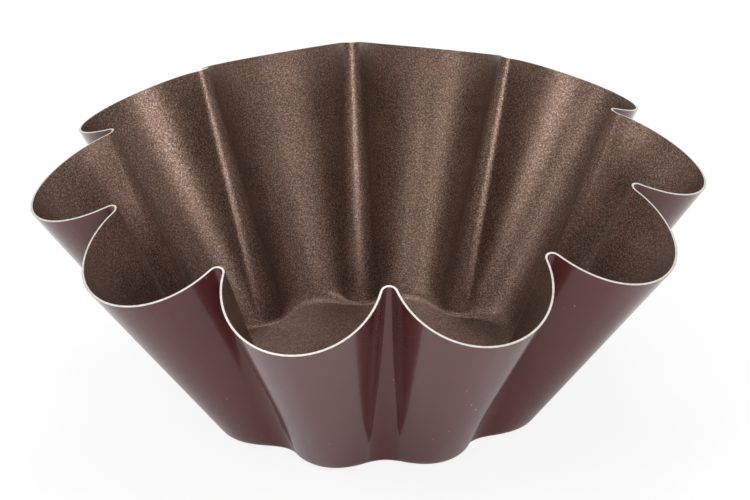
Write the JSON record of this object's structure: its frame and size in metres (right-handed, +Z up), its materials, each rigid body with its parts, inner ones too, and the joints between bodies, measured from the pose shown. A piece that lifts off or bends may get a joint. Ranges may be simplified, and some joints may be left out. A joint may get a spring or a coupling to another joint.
{
  "type": "brioche mould",
  "caption": "Fluted brioche mould: a pressed steel bowl with deep flared flutes, a wavy trimmed rim and a flat scalloped floor, lined with non-stick inside and lacquered outside.",
  "frame": {"origin": "centre of the flat base, on the table under the mould", "axes": "+Z up along the mould's axis; opposite lobe crowns on +X and -X, opposite ridges on +Y and -Y"},
  "size_m": [0.2, 0.1924, 0.0761],
  "materials": {
    "bare_steel": "bright cut edge of thin sheet",
    "nonstick": "brown non-stick coat with fine metallic grain, satin",
    "lacquer": "glossy dark aubergine lacquer"
  },
  "bodies": {
    "root": {"steel_sheet": "bare_steel", "nonstick_lining": "nonstick", "outer_lacquer": "lacquer"}
  },
  "joints": []
}
